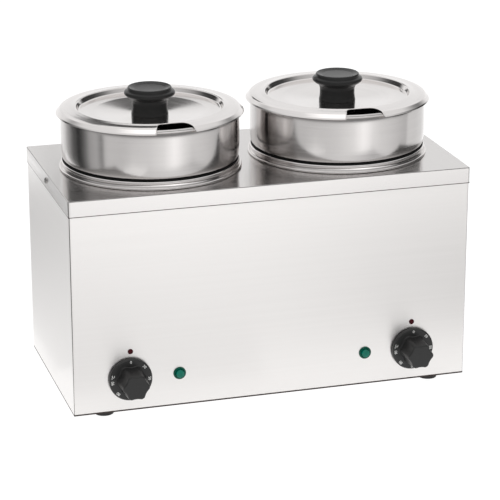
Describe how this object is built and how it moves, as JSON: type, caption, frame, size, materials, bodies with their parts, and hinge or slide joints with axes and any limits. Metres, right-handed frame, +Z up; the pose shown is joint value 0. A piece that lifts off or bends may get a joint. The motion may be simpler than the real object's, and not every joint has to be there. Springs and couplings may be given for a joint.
{
  "type": "soup kettle",
  "caption": "Countertop wet-well soup warmer: box housing in stainless sheet, round pots sunk in collared wells, knobbed lids with ladle notch, front dials with lamps.",
  "frame": {"origin": "on the table, below the middle of the housing", "axes": "+X along the housing's long side to the right, -Y towards the user's side with the dials, +Z up"},
  "size_m": [0.5452, 0.332, 0.4035],
  "materials": {
    "steel": "satin brushed",
    "pot_steel": "polished",
    "fastener_steel": "plain",
    "black_plastic": "satin",
    "rubber": "matte",
    "gland_plastic": "satin",
    "terminal_plastic": "satin",
    "green_lens": "glossy",
    "red_plastic": "glossy",
    "insulation": "mineral fibre",
    "heater_steel": "heat-tinted",
    "wire": "sleeved"
  },
  "bodies": {
    "housing": {"base_plate": "steel", "base_screws": "fastener_steel", "cable_gland": "gland_plastic", "cover_screws": "fastener_steel", "earth_stud": "fastener_steel", "foot_front_left": "rubber", "foot_front_right": "rubber", "foot_nuts": "fastener_steel", "foot_rear_left": "rubber", "foot_rear_right": "rubber", "foot_screws": "fastener_steel", "gland_locknut": "gland_plastic", "gland_nut": "gland_plastic", "heater_clamp_left": "fastener_steel", "heater_clamp_right": "fastener_steel", "heater_element_left": "heater_steel", "heater_element_right": "heater_steel", "heater_nuts": "fastener_steel", "heater_studs": "fastener_steel", "housing_shell": "steel", "index_marker_left": "red_plastic", "index_marker_right": "red_plastic", "insulation_left": "insulation", "insulation_right": "insulation", "lamp_body_left": "terminal_plastic", "lamp_body_right": "terminal_plastic", "lamp_lens_left": "green_lens", "lamp_lens_right": "green_lens", "terminal_block": "terminal_plastic", "thermal_cutout_left": "terminal_plastic", "thermal_cutout_right": "terminal_plastic", "thermostat_body_left": "terminal_plastic", "thermostat_body_right": "terminal_plastic", "thermostat_bulb_left": "heater_steel", "thermostat_bulb_right": "heater_steel", "thermostat_screws": "fastener_steel", "top_cover": "steel", "well_left": "steel", "well_right": "steel", "wiring_left": "wire", "wiring_right": "wire"},
    "pot_left": {"pot_left": "pot_steel"},
    "lid_left": {"lid_left": "pot_steel", "lid_knob_left": "black_plastic", "lid_washer_left": "fastener_steel", "lid_knob_screw_left": "fastener_steel"},
    "dial_left": {"dial_left": "black_plastic", "thermostat_shaft_left": "fastener_steel"},
    "pot_right": {"pot_right": "pot_steel"},
    "lid_right": {"lid_right": "pot_steel", "lid_knob_right": "black_plastic", "lid_washer_right": "fastener_steel", "lid_knob_screw_right": "fastener_steel"},
    "dial_right": {"dial_right": "black_plastic", "thermostat_shaft_right": "fastener_steel"}
  },
  "joints": [
    {"name": "dial_left_turn", "type": "hinge", "parent": "housing", "child": "dial_left", "pos_m": [-0.194, -0.1335, 0.0515], "axis": [0, -1, 0], "range_deg": [0, 270]},
    {"name": "pot_left_lift", "type": "slide", "parent": "housing", "child": "pot_left", "axis": [0, 0, 1], "range_m": [0, 0.13]},
    {"name": "lid_left_lift", "type": "slide", "parent": "pot_left", "child": "lid_left", "axis": [0, 0, 1], "range_m": [0, 0.08]},
    {"name": "dial_right_turn", "type": "hinge", "parent": "housing", "child": "dial_right", "pos_m": [0.194, -0.1335, 0.0515], "axis": [0, -1, 0], "range_deg": [0, 270]},
    {"name": "pot_right_lift", "type": "slide", "parent": "housing", "child": "pot_right", "axis": [0, 0, 1], "range_m": [0, 0.13]},
    {"name": "lid_right_lift", "type": "slide", "parent": "pot_right", "child": "lid_right", "axis": [0, 0, 1], "range_m": [0, 0.08]}
  ]
}
